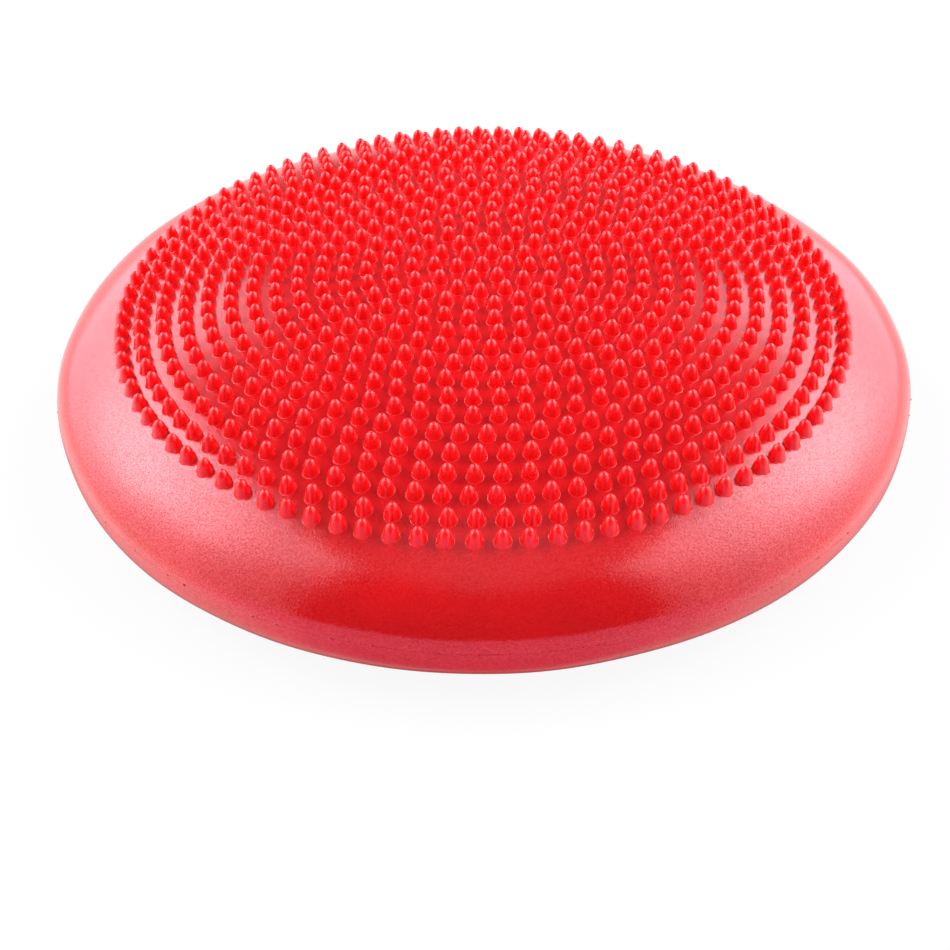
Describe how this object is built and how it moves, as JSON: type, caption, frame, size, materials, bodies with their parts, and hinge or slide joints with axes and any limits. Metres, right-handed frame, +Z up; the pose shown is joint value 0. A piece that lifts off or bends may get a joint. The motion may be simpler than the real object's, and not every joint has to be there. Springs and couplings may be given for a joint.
{
  "type": "balance pad",
  "caption": "Air-filled vinyl balance pad: a round domed cushion with concentric rings of massage nubs on top, for standing or sitting on in balance exercises",
  "frame": {"origin": "On the floor under the middle of the pad, in the plane of the flat patch of the underside.", "axes": "+Z up through the nubbed face; -Y to the front; +Y to the back, where the inflation valve is; +X to the right seen from the front."},
  "size_m": [0.33, 0.3305, 0.0683],
  "materials": {
    "skin_vinyl": "satin",
    "nub_vinyl": "gloss",
    "collar_vinyl": "satin",
    "core_rubber": "matte",
    "plug_plastic": "satin"
  },
  "bodies": {
    "base": {"underside": "skin_vinyl"},
    "rim": {"lower_side_wall": "skin_vinyl", "valve_collar": "collar_vinyl", "valve_core": "core_rubber"},
    "shoulder": {"upper_side_wall": "skin_vinyl"},
    "top": {"spiked_top": "nub_vinyl"},
    "stopper": {"valve_plug": "plug_plastic"}
  },
  "joints": [
    {"name": "rock_front_back", "type": "hinge", "parent": "base", "child": "rim", "pos_m": [0, 0, 0.014], "axis": [1, 0, 0], "range_deg": [-4, 4], "stiffness_Nm_per_rad": 300, "deforming": ["lower_side_wall"]},
    {"name": "rock_left_right", "type": "hinge", "parent": "rim", "child": "shoulder", "pos_m": [0, 0, 0.034], "axis": [0, 1, 0], "range_deg": [-4, 4], "stiffness_Nm_per_rad": 300, "deforming": ["upper_side_wall"]},
    {"name": "sink", "type": "slide", "parent": "shoulder", "child": "top", "axis": [0, 0, -1], "range_m": [0, 0.015], "stiffness_N_per_m": 40000},
    {"name": "plug_pull", "type": "slide", "parent": "rim", "child": "stopper", "axis": [0, 0.8074, 0.59], "range_m": [0, 0.014]}
  ]
}
